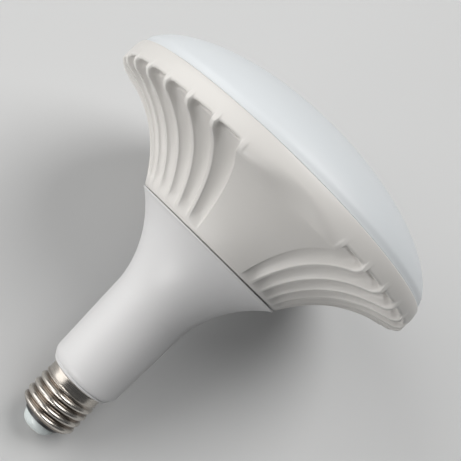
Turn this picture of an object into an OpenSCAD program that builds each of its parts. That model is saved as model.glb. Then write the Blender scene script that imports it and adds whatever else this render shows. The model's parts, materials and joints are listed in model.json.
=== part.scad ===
// Flared LED lamp with a screw cap, hung cap up and dome down.
// Millimetres. The origin is the outer face of the centre contact, and +Z points out of the cap.
// The pieces are drawn dome up, as [radius, height above the seam], and hung() turns them over.
// The seam is where the neck meets the finned bell, and what lies on the cap's side is negative.

/* [Overall] */
// Largest diameter, across the rim
rim_d = 159; // [132:0.5:192]
// Height of the screw cap, from the contact to the neck
cap_h = 28; // [27:0.5:30]
// Height of the neck, from the cap to the seam
neck_h = 75.8; // [63:0.1:95]
// Height of the finned bell, from the seam to the diffuser's joint
bell_h = 40; // [33:0.5:50]
// Height of the diffuser's dome above its joint
dome_h = 29.2; // [20:0.2:45]

/* [Screw cap] */
// Outer diameter of the thread's crests
thread_d = 26.4; // [26:0.05:26.45]
// Outer diameter of the plain skirt above the thread
skirt_d = 25.2; // [24.5:0.1:25.8]
// Height of the plain skirt
skirt_h = 4.4; // [3:0.1:6]
// Thickness of the drawn sheet of the shell
shell_t = 0.35; // [0.2:0.05:0.5]
// Diameter of the opening in the shell's rolled end
shell_mouth_d = 18.8; // [17:0.1:20]
// Distance from the contact to the shell's rolled end
shell_end_h = 7.4; // [6.6:0.1:9]
// Largest diameter of the white tip
tip_d = 15.8; // [14:0.1:17]
// Height of the white tip
tip_h = 5; // [4:0.1:5.4]
// Diameter of the contact's head
contact_d = 7; // [6:0.1:9]
// How far the contact's head stands proud of the tip
contact_h = 0.7; // [0.4:0.1:1]

/* [Neck] */
// Diameter of the neck where its cone starts, next to the cap
neck_small_d = 33.2; // [31:0.1:40]
// Diameter of the neck where its flare starts
neck_large_d = 35.6; // [33:0.1:43]
// Diameter at the seam
seam_d = 75.4; // [62:0.1:91]
// Height of the neck's flare
flare_h = 34; // [28:0.5:41]
// Wall of the neck
neck_wall = 2; // [1.6:0.1:2.4]
// Height of the rounded end next to the cap
neck_end_h = 3.6; // [2:0.1:6]
// Overhang of the neck's lip past the bell at the seam
lip_over = 0.35; // [0:0.05:1]

/* [Bell] */
// Number of plain panels, with a group of pockets between each two
panels = 3; // [2:1:4]
// Angle of a plain panel
panel_angle = 33.6; // [20:0.2:50]
// Number of pockets in a group
group_pockets = 9; // [4:1:12]
// Width of the rib between two pockets
rib_w = 2; // [1.2:0.1:2.6]
// Depth of a pocket at the rim
pocket_depth = 3.4; // [2.4:0.1:4.2]
// Depth of a pocket near the seam
pocket_start_depth = 1.7; // [1:0.1:2.1]
// Wall behind a pocket
bell_wall = 2; // [1.6:0.1:2.5]
// Height of the band between the pockets and the diffuser's joint
band_h = 8.1; // [7.5:0.1:10]
// How far the lip under the band is drawn in from the rim
lip_in = 3.1; // [2:0.1:5]

/* [Diffuser] */
// Wall of the diffuser
diffuser_wall = 1.8; // [1.4:0.1:2.4]
// Wall of the diffuser's spigot in the bell
spigot_wall = 1.7; // [1.2:0.1:2.2]
// Visible gap between diffuser and bell
joint_gap = 0.3; // [0.1:0.05:0.6]

/* [Heat plate and LEDs] */
// Thickness of the pressed plate
plate_t = 1.5; // [1:0.1:2]
// Thickness of the LED board
board_t = 1.2; // [1:0.1:2]
// Distance from the LED board's edge to the bell's bore
board_edge_gap = 10.5; // [9.5:0.5:20]
// Side of an LED package
led_w = 3; // [2.8:0.1:5]
// Height of an LED package
led_h = 0.7; // [0.5:0.1:1]
// Distance between LED rings
led_ring_step = 19.5; // [16:0.5:24]
// Number of LEDs in the smallest ring
led_first_count = 8; // [6:1:10]

/* [Driver] */
// Clearance between the driver board's edges and the neck's bore
driver_side_gap = 1.2; // [0.6:0.1:2]
// Length of the driver board
driver_l = 52; // [52:1:58]
// Thickness of the driver board
driver_t = 1.6; // [1:0.1:2]
// Diameter of a wire, over its insulation
wire_d = 1.6; // [1:0.1:1.8]

/* [Fits] */
// Clearance between parts that plug into each other, on the radius
fit = 0.2; // [0.1:0.05:0.3]
// Diameter of a screw's shank
screw_d = 2.9; // [2.5:0.1:3.1]
// Diameter of a screw's head
screw_head_d = 5.5; // [5:0.1:6]
// Height of a screw's head
screw_head_h = 1.9; // [1.5:0.1:2.5]

/* [Hidden] */
$fn = 96;

// Levels above the seam
neck_end_s = -neck_h;
contact_s = neck_end_s - cap_h;
tip_low_s = contact_s + contact_h;
tip_high_s = tip_low_s + tip_h;
shell_end_s = contact_s + shell_end_h;
joint_s = bell_h;
ceiling_s = joint_s - band_h;
ledge_s = ceiling_s + bell_wall + 0.1;
plate_top_s = ledge_s + plate_t;
board_top_s = plate_top_s + board_t;

// Radii
rim_r = rim_d / 2;
seam_r = seam_d / 2;
lip_r = rim_r - lip_in;
bore_r = rim_r - 3;

// Directions and pulls of the two curved outlines, and the number of flats that stand for each
bell_ends = [31, 78.5, 0.37, 0.4];
bell_steps = 16;
flare_ends = [5.4, 52.6, 0.33, 0.34];
flare_steps = 14;

// Screw cap: the groove under the skirt, the corner of the rolled end, the ring and the stem
skirt_groove_w = 0.8;
skirt_groove_in = 0.35;
shell_corner = 2.4;
ring_flange_t = 1;
ring_flange_over = 1.2;
ring_taper = 0.5;
ring_flange_s = shell_end_s + shell_t + 0.05;
stem_r = 4.8;
nail_r = 1.2;
nail_past = 3;

// Neck: its spigot in the screw shell, its foot, its lip and its spigot in the bell
cap_spigot_r = 11.6;
cap_spigot_wall = 1.8;
cap_spigot_l = 14;
foot_in = 2.5;
foot_groove_h = 1.3;
foot_groove_w = 0.5;
foot_groove_in = 1.85;
lip_h = 1.1;
lip_step = 1.2;
seam_bore_r = seam_r - 2.4;
seam_spigot_wall = 2;
seam_spigot_h = 3.6;

// Floor of the bell, and the screws that hold the neck to it
floor_s = seam_spigot_h + fit;
floor_t = 2;
floor_hole_r = 14;
boss_r = 3;
boss_l = 16;
neck_screw_r = seam_bore_r - 6.8;
neck_screw_l = 8;
pilot_r = screw_d / 2 + 0.05;
pilot_past = 0.6;
clear_r = screw_d / 2 + 0.25;

// Bell: the rounded lip and the snap groove
lip_rise = 3.6;
lip_round = 0.9;
band_low = 0.8;
lip_steps = 6;
band_steps = 4;
snap_s = joint_s - 2.2;
snap_r = 0.35;
snap_half = 0.7;
pocket_first = 1;
pocket_fade = 0.12;
pocket_start_out = 0.4;
first_panel = 90;
panel_step = 360 / panels;
pocket_pitch = (panel_step - panel_angle) / group_pockets;
core_margin = 1.6;
core_step = 4;
plate_boss_r = 3.2;
plate_boss_l = 10;

// Heat plate and LED board
plate_screw_r = bore_r - 5.6;
plate_screw_l = 5.5;
collar_h = 2;
collar_wall = 1.2;
plate_hole_r = 5.6;
board_r = bore_r - board_edge_gap;
board_hole_r = 9;
led_ring_r = [for (i = [0 : 2]) board_r - 8 - (2 - i) * led_ring_step];
led_counts = [for (i = [0 : 2]) led_first_count + i * 10];
board_screw_r = (led_ring_r[1] + led_ring_r[2]) / 2;
board_screw_l = 3;
board_screw_count = 4;
board_screw_from = 45;
grommet_bore_r = 3;
grommet_flange_r = 7.6;
grommet_flange_t = 1.2;
connector_size = [8, 6, 4];
connector_y = 13;
connector_hole_r = 1;
connector_hole_x = 1.8;

// The dome is the upper half of an ellipse whose widest circle lies in the bell's band
belly_s = joint_s - 4.5;
dome_rise = joint_s + dome_h - belly_s;
dome_steps = 26;

// Driver board: its front face, its two ends and the rails in the neck
driver_front_y = -2.4;
driver_low_s = neck_end_s + 9.8;
driver_high_s = driver_low_s + driver_l;
bore_at_driver = neck_small_d / 2 - neck_wall;
driver_half_w = sqrt(pow(bore_at_driver, 2) - pow(driver_front_y - driver_t, 2)) - driver_side_gap;
rail_t = 1;
rail_grip = 1.2;
rail_low_s = driver_low_s + 2;
rail_high_s = 2 - flare_h;
wire_r = wire_d / 2;
wire_sides = 8;
route_steps = 4;
wire_y = driver_front_y + wire_r + 0.1;
lead_x = 4;

// Driver components: where each stands, as [across, along] the board, and its size
film_at = [3.4, 4.3];
film_size = [12.6, 5.4, 9.6];
varistor_at = [-7.4, 4.6];
varistor_r = 3.5;
varistor_t = 4;
choke_at = [-6.4, 13];
choke_r = 4.4;
choke_h = 8.8;
choke_flange_t = 1.2;
choke_waist_r = 3.7;
fuse_at = [6.4, 13];
fuse_r = 2.1;
fuse_l = 9;
rectifier_at = [0, 12];
rectifier_size = [4.7, 4, 2.5];
bulk_at = [0, 23.4];
bulk_r = 5;
bulk_h = 12.5;
chip_at = [2, 30];
chip_size = [4, 5, 1.6];
coil_at = [0, 35.6];
coil_size = [9.2, 7.4, 11];
core_size = [13, 11.6, 5.5];
core_leg = 3.4;
core_yoke = 1.9;
output_at = [3, 46.6];
output_r = 4;
output_h = 11.5;
diode_at = [-6.6, 46.6];
diode_r = 1.35;
diode_l = 5.2;
lying_gap = 0.1;
can_waist_s = 1.7;
can_waist = 0.5;
can_edge = 0.4;

white_satin = [0.93, 0.93, 0.92];
opal = [0.95, 0.96, 0.97];
nickel = [0.78, 0.77, 0.74];
aluminium = [0.8, 0.81, 0.82];
steel = [0.6, 0.6, 0.6];

// A curve between two ends. ends holds the directions from the axis and the pulls at both.
function bezier(a, b, c, d, t) =
    pow(1 - t, 3) * a + 3 * pow(1 - t, 2) * t * b + 3 * (1 - t) * t * t * c + pow(t, 3) * d;

function curve(from, to, ends, steps) =
    let (
        chord = norm(to - from),
        b = from + chord * ends[2] * [sin(ends[0]), cos(ends[0])],
        c = to - chord * ends[3] * [sin(ends[1]), cos(ends[1])]
    )
    [for (i = [0 : steps]) bezier(from, b, c, to, i / steps)];

// A corner rounded between two points
function rounded(from, corner, to, steps) =
    [
        for (i = [0 : steps])
            let (t = i / steps)
            pow(1 - t, 2) * from + 2 * (1 - t) * t * corner + t * t * to
    ];

// Unit normal of a rising curve at its point i, on the side away from the axis
function outward(points, i) =
    let (
        a = points[max(i - 1, 0)],
        b = points[min(i + 1, len(points) - 1)],
        d = (b - a) / norm(b - a)
    )
    [d[1], -d[0]];

// A rising curve moved outwards, by a distance for each point
function shifted(points, distances) =
    [for (i = [0 : len(points) - 1]) points[i] + distances[i] * outward(points, i)];

function inset(points, distance) = shifted(points, [for (p = points) -distance]);

function reversed(points) = [for (i = [len(points) - 1 : -1 : 0]) points[i]];

function first(points) = points[0];

function last(points) = points[len(points) - 1];

// Radius of the dome's ellipse at a level, and its outline from there to the axis
function dome_r(inset, s) =
    (rim_r - inset) * sqrt(1 - pow((s - belly_s) / (dome_rise - inset), 2));

function dome(inset, from_s) =
    let (start = asin((from_s - belly_s) / (dome_rise - inset)))
    [
        for (i = [0 : dome_steps])
            let (e = start + (90 - start) * i / dome_steps)
            [(rim_r - inset) * cos(e), belly_s + (dome_rise - inset) * sin(e)]
    ];

// Turns the lamp over, so that it hangs from its cap with the contact at the origin
module hung() {
    translate([0, 0, contact_s])
        rotate([180, 0, 0])
            children();
}

// A turned solid from its profile, all the way round or over an angle about a direction
module turned(points) {
    rotate_extrude()
        polygon(points);
}

module sector(points, middle, angle) {
    rotate([0, 0, middle - angle / 2])
        rotate_extrude(angle = angle)
            polygon(points);
}

module post(r, from_s, to_s) {
    translate([0, 0, from_s])
        cylinder(r = r, h = to_s - from_s);
}

module ring(outer_r, inner_r, from_s, to_s) {
    difference() {
        post(outer_r, from_s, to_s);
        post(inner_r, from_s - 1, to_s + 1);
    }
}

module around(count, r, start = 0) {
    for (i = [0 : count - 1])
        rotate([0, 0, start + i * 360 / count])
            translate([r, 0, 0])
                children();
}

// A pan-head screw that points to the cap, with its head's underside at a level
module screw(head_s, length) {
    post(screw_d / 2, head_s - length, head_s + screw_head_h / 2);
    post(screw_head_d / 2, head_s, head_s + screw_head_h);
}

// Outline of the screw shell, from its mouth to the neck
mouth_r = shell_mouth_d / 2;
thread_r = thread_d / 2;
skirt_r = skirt_d / 2;
skirt_low_s = neck_end_s - skirt_h;
shell_line = concat(
    [[mouth_r, shell_end_s]],
    rounded(
        [thread_r - shell_corner, shell_end_s], [thread_r, shell_end_s + 0.2],
        [thread_r, shell_end_s + shell_corner], 6
    ),
    [
        [thread_r, skirt_low_s - 2 * skirt_groove_w],
        [skirt_r - skirt_groove_in, skirt_low_s - skirt_groove_w],
        [skirt_r, skirt_low_s],
        [skirt_r, neck_end_s]
    ]
);

module screw_shell() {
    color(nickel)
        hung()
            turned(concat(shell_line, reversed(inset(shell_line, shell_t))));
}

// Dark ring, with a flange behind the shell's rolled end and a bore for the tip's stem
module insulator_ring() {
    neck_r = mouth_r - fit;
    color([0.08, 0.08, 0.08])
        hung()
            turned([
                [stem_r + fit, tip_high_s],
                [neck_r - ring_taper, tip_high_s],
                [neck_r, shell_end_s],
                [neck_r, ring_flange_s],
                [mouth_r + ring_flange_over, ring_flange_s],
                [mouth_r + ring_flange_over, ring_flange_s + ring_flange_t],
                [stem_r + fit, ring_flange_s + ring_flange_t]
            ]);
}

module insulator_tip() {
    tip_r = tip_d / 2;
    bowl = rounded(
        [contact_d / 2 + 0.2, tip_low_s], [tip_r - 0.6, tip_low_s + 0.4], [tip_r, tip_high_s - 0.5], 8
    );
    stem_high_s = ring_flange_s + ring_flange_t;
    color([0.88, 0.93, 0.92])
        hung()
            turned(concat(
                [[nail_r + 0.1, tip_low_s]],
                bowl,
                [
                    [tip_r - 0.2, tip_high_s],
                    [stem_r, tip_high_s],
                    [stem_r, stem_high_s],
                    [nail_r + 0.1, stem_high_s]
                ]
            ));
}

module centre_contact() {
    head_r = contact_d / 2;
    color(nickel)
        hung()
            turned([
                [0, contact_s],
                [head_r - 0.5, contact_s],
                [head_r, tip_low_s - 0.2],
                [head_r, tip_low_s],
                [nail_r, tip_low_s],
                [nail_r, shell_end_s + nail_past],
                [0, shell_end_s + nail_past]
            ]);
}

// Outline of the neck from its foot to the seam
neck_small_r = neck_small_d / 2;
foot_r = neck_small_r - foot_in;
seam_spigot_r = seam_bore_r - fit;
flare_line = curve(
    [neck_large_d / 2, -flare_h], [seam_r - lip_step, -lip_h], flare_ends, flare_steps
);
neck_line = concat(
    rounded(
        [foot_r, neck_end_s], [neck_small_r - 0.9, neck_end_s + 1.5],
        [neck_small_r, neck_end_s + neck_end_h], 6
    ),
    flare_line,
    [
        [seam_r - 0.3, -lip_h * 0.7],
        [seam_r, -lip_h / 3],
        [seam_r, 0]
    ]
);
neck_inside = concat(
    [[neck_small_r - neck_wall, neck_end_s + neck_wall]],
    [for (p = inset(flare_line, neck_wall)) if (p[0] < seam_spigot_r - seam_spigot_wall - 0.2) p]
);

module neck() {
    cap_bore_r = cap_spigot_r - cap_spigot_wall;
    cap_spigot_s = neck_end_s - cap_spigot_l;
    spigot_bore_r = seam_spigot_r - seam_spigot_wall;
    filled = concat(
        [[0, neck_end_s]],
        neck_line,
        [[seam_spigot_r, 0], [seam_spigot_r, floor_s], [0, floor_s]]
    );
    pilot_low_s = floor_s + floor_t - neck_screw_l - pilot_past;
    rail_y = [driver_front_y + fit, driver_front_y - driver_t - fit - rail_t];
    color(white_satin)
        hung()
            difference() {
                union() {
                    turned(concat(
                        [
                            [cap_bore_r, cap_spigot_s],
                            [cap_spigot_r, cap_spigot_s],
                            [cap_spigot_r, neck_end_s]
                        ],
                        neck_line,
                        [
                            [seam_spigot_r, 0],
                            [seam_spigot_r, seam_spigot_h],
                            [spigot_bore_r, seam_spigot_h],
                            [spigot_bore_r, last(neck_inside)[1]]
                        ],
                        reversed(neck_inside),
                        [[cap_bore_r, neck_end_s + neck_wall]]
                    ));
                    intersection() {
                        around(panels, neck_screw_r, first_panel)
                            post(boss_r, floor_s - boss_l, floor_s);
                        turned(filled);
                    }
                    for (y = rail_y)
                        for (side = [0 : 1])
                            mirror([side, 0, 0])
                                translate([driver_half_w - rail_grip, y, rail_low_s])
                                    cube([
                                        driver_side_gap + rail_grip + neck_wall / 2, rail_t,
                                        rail_high_s - rail_low_s
                                    ]);
                }
                around(panels, neck_screw_r, first_panel)
                    post(pilot_r, pilot_low_s, floor_s + 1);
                ring(
                    neck_small_r + 1, neck_small_r - foot_groove_in,
                    neck_end_s + foot_groove_h, neck_end_s + foot_groove_h + foot_groove_w
                );
            }
}

// Outline of the bell, from the seam up the flare, round the lip and up the band
bell_line = curve([seam_r - lip_over, 0], [lip_r, ceiling_s - lip_rise], bell_ends, bell_steps);
lip_line = rounded(
    [lip_r, ceiling_s - lip_rise], [rim_r - lip_round, ceiling_s - lip_rise + lip_round],
    [dome_r(0, ceiling_s + band_low), ceiling_s + band_low], lip_steps
);
band_line = [
    for (i = [1 : band_steps])
        let (s = ceiling_s + band_low + (band_h - band_low) * i / band_steps)
        [dome_r(0, s), s]
];

// A pocket starts just outside the bell's surface near the seam and grows deeper to the rim
pocket_line = [for (i = [pocket_first : bell_steps]) bell_line[i]];
pocket_last = len(pocket_line) - 1;

function pocket_depth_at(t) =
    (pocket_start_depth + (pocket_depth - pocket_start_depth) * t) * sqrt(min(1, t / pocket_fade));

function pocket_cut_at(t) = t == 0 ? -pocket_start_out : pocket_depth_at(t);

pocket_floor = [
    for (p = shifted(pocket_line, [for (i = [0 : pocket_last]) -pocket_cut_at(i / pocket_last)]))
        if (p[1] < ceiling_s - 0.1) p
];
pocket_profile = concat(
    pocket_floor,
    [
        [last(pocket_floor)[0] + 0.6, ceiling_s],
        [rim_r + 2, ceiling_s],
        [rim_r + 2, first(pocket_floor)[1] - 2],
        [first(pocket_floor)[0] + 3, first(pocket_floor)[1] - 2]
    ]
);

// The bell's inside follows the pocket floors, and the panels are cored out to the same wall
floor_top_s = floor_s + floor_t;
wall_behind = [
    for (i = [0 : bell_steps])
        -(pocket_depth_at(max(0, i - pocket_first) / pocket_last) + bell_wall)
];
bell_inside = [
    for (p = shifted(bell_line, wall_behind))
        if (p[1] > floor_top_s + 0.5 && p[1] < ledge_s - 0.3) p
];
panel_inside = [
    for (p = inset(bell_line, bell_wall + 0.2))
        if (p[1] > floor_top_s + 2 && p[1] < ceiling_s - 1) p
];
core_profile = concat(
    panel_inside,
    [
        [last(panel_inside)[0] + 0.5, ceiling_s],
        [last(bell_inside)[0] - core_step, ceiling_s]
    ],
    reversed([for (p = inset(bell_inside, 0.8)) if (p[1] < ceiling_s - 1) p])
);

// What is cut away for a group of pockets: all but the ribs, of which the outer two are half sunk
// in the panels. The angles are counted from the middle of the panel before the group.
module pocket_group() {
    group_angle = group_pockets * pocket_pitch;
    difference() {
        sector(pocket_profile, (panel_angle + group_angle) / 2, group_angle);
        for (k = [0 : group_pockets])
            rotate([0, 0, panel_angle / 2 + k * pocket_pitch])
                translate([0, -rib_w / 2, -1])
                    cube([rim_r + 3, rib_w, ceiling_s + 2]);
    }
}

module housing() {
    outline = concat([[seam_bore_r, 0]], bell_line, lip_line, band_line);
    inside = concat(
        [
            [bore_r, joint_s],
            [bore_r, snap_s + snap_half],
            [bore_r + snap_r, snap_s],
            [bore_r, snap_s - snap_half],
            [bore_r, ledge_s],
            [last(bell_inside)[0] + 0.2, ledge_s]
        ],
        reversed(bell_inside),
        [
            [first(bell_inside)[0] - 0.3, floor_top_s],
            [floor_hole_r, floor_top_s],
            [floor_hole_r, floor_s],
            [seam_bore_r, floor_s]
        ]
    );
    color(white_satin)
        hung()
            difference() {
                union() {
                    difference() {
                        turned(concat(outline, inside));
                        for (i = [0 : panels - 1])
                            sector(
                                core_profile, first_panel + i * panel_step,
                                panel_angle - 2 * core_margin
                            );
                    }
                    intersection() {
                        around(panels, plate_screw_r, first_panel)
                            post(plate_boss_r, ledge_s - plate_boss_l, ledge_s);
                        turned(concat([[0, 0]], bell_line, lip_line, [[0, ledge_s + 1]]));
                    }
                }
                for (i = [0 : panels - 1])
                    rotate([0, 0, first_panel + i * panel_step])
                        pocket_group();
                around(panels, plate_screw_r, first_panel)
                    post(pilot_r, plate_top_s - plate_screw_l - pilot_past, ledge_s + 1);
                around(panels, neck_screw_r, first_panel)
                    post(clear_r, floor_s - 1, floor_top_s + 1);
            }
}

module neck_screws() {
    color(steel)
        hung()
            around(panels, neck_screw_r, first_panel)
                screw(floor_top_s, neck_screw_l);
}

// Pressed plate on the bell's ledge, with a drawn collar for each of the board's screws
module heat_plate() {
    color(aluminium)
        hung()
            difference() {
                union() {
                    post(bore_r - fit, ledge_s, plate_top_s);
                    around(board_screw_count, board_screw_r, board_screw_from)
                        post(pilot_r + collar_wall, ledge_s - collar_h, ledge_s + 0.1);
                }
                post(plate_hole_r, ledge_s - 1, plate_top_s + 1);
                around(panels, plate_screw_r, first_panel)
                    post(clear_r, ledge_s - 1, plate_top_s + 1);
                around(board_screw_count, board_screw_r, board_screw_from)
                    post(pilot_r, ledge_s - collar_h - 1, plate_top_s + 1);
            }
}

module plate_screws() {
    color(steel)
        hung()
            around(panels, plate_screw_r, first_panel)
                screw(plate_top_s, plate_screw_l);
}

module led_board() {
    color(white_satin)
        hung()
            difference() {
                ring(board_r, board_hole_r, plate_top_s, board_top_s);
                around(board_screw_count, board_screw_r, board_screw_from)
                    post(clear_r, plate_top_s - 1, board_top_s + 1);
            }
}

module leds() {
    color([0.95, 0.85, 0.45])
        hung()
            for (i = [0 : len(led_counts) - 1])
                around(led_counts[i], led_ring_r[i], 180 / led_counts[i])
                    translate([-led_w / 2, -led_w / 2, board_top_s])
                        cube([led_w, led_w, led_h]);
}

module board_screws() {
    color(steel)
        hung()
            around(board_screw_count, board_screw_r, board_screw_from)
                screw(board_top_s, board_screw_l);
}

module board_connector() {
    color([0.94, 0.94, 0.9])
        hung()
            difference() {
                translate([-connector_size[0] / 2, connector_y - connector_size[1] / 2, board_top_s])
                    cube(connector_size);
                for (x = [-connector_hole_x, connector_hole_x])
                    translate([x, connector_y + 1, board_top_s + connector_size[2] / 2])
                        rotate([90, 0, 0])
                            cylinder(r = connector_hole_r, h = connector_size[1]);
            }
}

module grommet() {
    color([0.12, 0.12, 0.12])
        hung()
            turned([
                [grommet_bore_r, ledge_s - grommet_flange_t],
                [grommet_flange_r, ledge_s - grommet_flange_t],
                [grommet_flange_r, ledge_s],
                [plate_hole_r - 0.1, ledge_s],
                [plate_hole_r - 0.1, plate_top_s],
                [grommet_flange_r, plate_top_s],
                [grommet_flange_r, plate_top_s + grommet_flange_t],
                [grommet_bore_r, plate_top_s + grommet_flange_t]
            ]);
}

// Opal dome with a spigot that stands on the heat plate and a bead that snaps into the bell
module diffuser() {
    edge_s = joint_s + joint_gap;
    spigot_r = bore_r - fit;
    spigot_in_r = spigot_r - spigot_wall;
    inner_rise = dome_rise - diffuser_wall;
    inner_from_s = belly_s + inner_rise * sqrt(1 - pow(spigot_in_r / (rim_r - diffuser_wall), 2));
    color(opal)
        hung()
            turned(concat(
                [
                    [spigot_in_r, plate_top_s],
                    [spigot_r, plate_top_s],
                    [spigot_r, snap_s - snap_half],
                    [spigot_r + snap_r, snap_s],
                    [spigot_r, snap_s + snap_half],
                    [spigot_r, edge_s]
                ],
                dome(0, edge_s),
                reversed(dome(diffuser_wall, inner_from_s))
            ));
}

module driver_board() {
    color([0.12, 0.36, 0.2])
        hung()
            translate([-driver_half_w, driver_front_y - driver_t, driver_low_s])
                cube([2 * driver_half_w, driver_t, driver_l]);
}

// Places a component on the driver board's front or back, with its height along local z
module on_front(place) {
    hung()
        translate([place[0], driver_front_y, driver_low_s + place[1]])
            rotate([-90, 0, 0])
                children();
}

module on_back(place) {
    hung()
        translate([place[0], driver_front_y - driver_t, driver_low_s + place[1]])
            rotate([90, 0, 0])
                children();
}

// A round body lying just clear of the board, along it or across it
module lying(r, length, turn) {
    translate([0, 0, r + lying_gap])
        rotate([0, 0, turn])
            rotate([90, 0, 0])
                translate([0, 0, -length / 2])
                    cylinder(r = r, h = length);
}

module block(size) {
    translate([-size[0] / 2, -size[1] / 2, 0])
        cube(size);
}

// An electrolytic can, with the crimped waist above its rubber bung
module can(r, h) {
    turned([
        [0, 0],
        [r, 0],
        [r, can_waist_s - can_waist],
        [r - can_waist, can_waist_s],
        [r, can_waist_s + can_waist],
        [r, h - can_edge],
        [r - can_edge, h],
        [0, h]
    ]);
}

module bulk_capacitor() {
    color([0.15, 0.17, 0.2])
        on_front(bulk_at)
            can(bulk_r, bulk_h);
}

module output_capacitor() {
    color([0.15, 0.17, 0.2])
        on_front(output_at)
            can(output_r, output_h);
}

module film_capacitor() {
    color([0.85, 0.75, 0.3])
        on_front(film_at)
            block(film_size);
}

// Ferrite frame with a middle leg, lying parallel to the board
module transformer_core() {
    window_w = (coil_size[0] - core_leg) / 2 + fit;
    window_l = core_size[1] - 2 * core_yoke;
    color([0.2, 0.2, 0.22])
        on_front(coil_at)
            translate([0, 0, (coil_size[2] - core_size[2]) / 2])
                difference() {
                    block(core_size);
                    for (side = [-1, 1])
                        translate([side * (core_leg + window_w) / 2, 0, -1])
                            block([window_w, window_l, core_size[2] + 2]);
                }
}

module transformer_coil() {
    color([0.9, 0.7, 0.15])
        on_front(coil_at)
            difference() {
                block(coil_size);
                translate([0, 0, (coil_size[2] - core_size[2]) / 2 - fit])
                    block([core_leg + 2 * fit, coil_size[1] + 2, core_size[2] + 2 * fit]);
            }
}

// Drum core with its winding in the waist
module line_choke() {
    color([0.55, 0.32, 0.15])
        on_front(choke_at)
            turned([
                [0, 0],
                [choke_r, 0],
                [choke_r, choke_flange_t],
                [choke_waist_r, choke_flange_t],
                [choke_waist_r, choke_h - choke_flange_t],
                [choke_r, choke_h - choke_flange_t],
                [choke_r, choke_h],
                [0, choke_h]
            ]);
}

module fuse_resistor() {
    color([0.3, 0.5, 0.35])
        on_front(fuse_at)
            lying(fuse_r, fuse_l, 0);
}

module varistor() {
    color([0.2, 0.35, 0.7])
        on_front(varistor_at)
            lying(varistor_r, varistor_t, 90);
}

module bridge_rectifier() {
    color([0.1, 0.1, 0.1])
        on_back(rectifier_at)
            block(rectifier_size);
}

module control_chip() {
    color([0.1, 0.1, 0.1])
        on_back(chip_at)
            block(chip_size);
}

module output_diode() {
    color([0.1, 0.1, 0.1])
        on_front(diode_at)
            lying(diode_r, diode_l, 0);
}

// A round wire swept along a smooth route through chosen points. side is a direction that the
// route never takes, from which the rings are turned.
function between(a, b, c, d, t) =
    b + 0.5 * t * (c - a + t * (2 * a - 5 * b + 4 * c - d + t * (3 * (b - c) + d - a)));

function route(points) =
    let (n = len(points) - 1)
    concat(
        [
            for (i = [0 : n - 1])
                for (k = [0 : route_steps - 1])
                    between(
                        points[max(i - 1, 0)], points[i], points[i + 1], points[min(i + 2, n)],
                        k / route_steps
                    )
        ],
        [points[n]]
    );

module wire(points, side) {
    path = route(points);
    n = len(path);
    rings = [
        for (i = [0 : n - 1])
            let (
                along = path[min(i + 1, n - 1)] - path[max(i - 1, 0)],
                u = cross(along, side) / norm(cross(along, side)),
                v = cross(along, u) / norm(along)
            )
            for (k = [0 : wire_sides - 1])
                path[i] + wire_r * (cos(k * 360 / wire_sides) * u + sin(k * 360 / wire_sides) * v)
    ];
    skin = [
        for (i = [0 : n - 2])
            for (k = [0 : wire_sides - 1])
                let (next = (k + 1) % wire_sides)
                [
                    i * wire_sides + k, i * wire_sides + next,
                    (i + 1) * wire_sides + next, (i + 1) * wire_sides + k
                ]
    ];
    ends = [
        [for (k = [wire_sides - 1 : -1 : 0]) k],
        [for (k = [0 : wire_sides - 1]) (n - 1) * wire_sides + k]
    ];
    polyhedron(points = rings, faces = concat(skin, ends));
}

live_route = [
    [0, 0, shell_end_s + nail_past + 0.1],
    [0.5, 0, shell_end_s + nail_past + 5],
    [3, -0.5, neck_end_s - 2],
    [5, wire_y, driver_low_s - 2],
    [5, wire_y, driver_low_s + 1]
];
neutral_route = [
    [0.4 + shell_t - thread_r, 0, neck_end_s - cap_spigot_l - 1.3],
    [-10, 0, neck_end_s - cap_spigot_l - 1.7],
    [-7.4, 0, neck_end_s - cap_spigot_l + 1],
    [-6, -0.6, neck_end_s - 4],
    [-5, wire_y, driver_low_s - 2],
    [-5, wire_y, driver_low_s + 1]
];
lead_route = [
    [lead_x, wire_y, driver_high_s - 0.8],
    [lead_x, wire_y, driver_high_s + 2],
    [3, 0, driver_high_s + (ledge_s - driver_high_s) / 3],
    [1.4, 0, driver_high_s + (ledge_s - driver_high_s) * 2 / 3],
    [1.2, 0, ledge_s - 3],
    [1.2, 0.2, plate_top_s + 1],
    [1.4, 2, board_top_s + 2.6],
    [1.8, 5.5, board_top_s + connector_size[2] / 2],
    [1.8, connector_y - connector_size[1] / 2 + 1.5, board_top_s + connector_size[2] / 2]
];

module live_wire() {
    color([0.55, 0.2, 0.12])
        hung()
            wire(live_route, [1, 0, 0]);
}

module neutral_wire() {
    color([0.15, 0.3, 0.65])
        hung()
            wire(neutral_route, [0, 1, 0]);
}

module positive_lead() {
    color([0.75, 0.1, 0.1])
        hung()
            wire(lead_route, [1, 0, 0]);
}

module negative_lead() {
    color([0.08, 0.08, 0.08])
        hung()
            wire([for (p = lead_route) [-p[0], p[1], p[2]]], [1, 0, 0]);
}

screw_shell();
insulator_ring();
insulator_tip();
centre_contact();
neck();
housing();
neck_screws();
heat_plate();
plate_screws();
led_board();
leds();
board_screws();
board_connector();
grommet();
diffuser();
driver_board();
bulk_capacitor();
output_capacitor();
film_capacitor();
transformer_core();
transformer_coil();
line_choke();
fuse_resistor();
varistor();
bridge_rectifier();
control_chip();
output_diode();
live_wire();
neutral_wire();
positive_lead();
negative_lead();
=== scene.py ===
import json
import math

import bmesh
import bpy
from mathutils import Matrix, Vector


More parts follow.
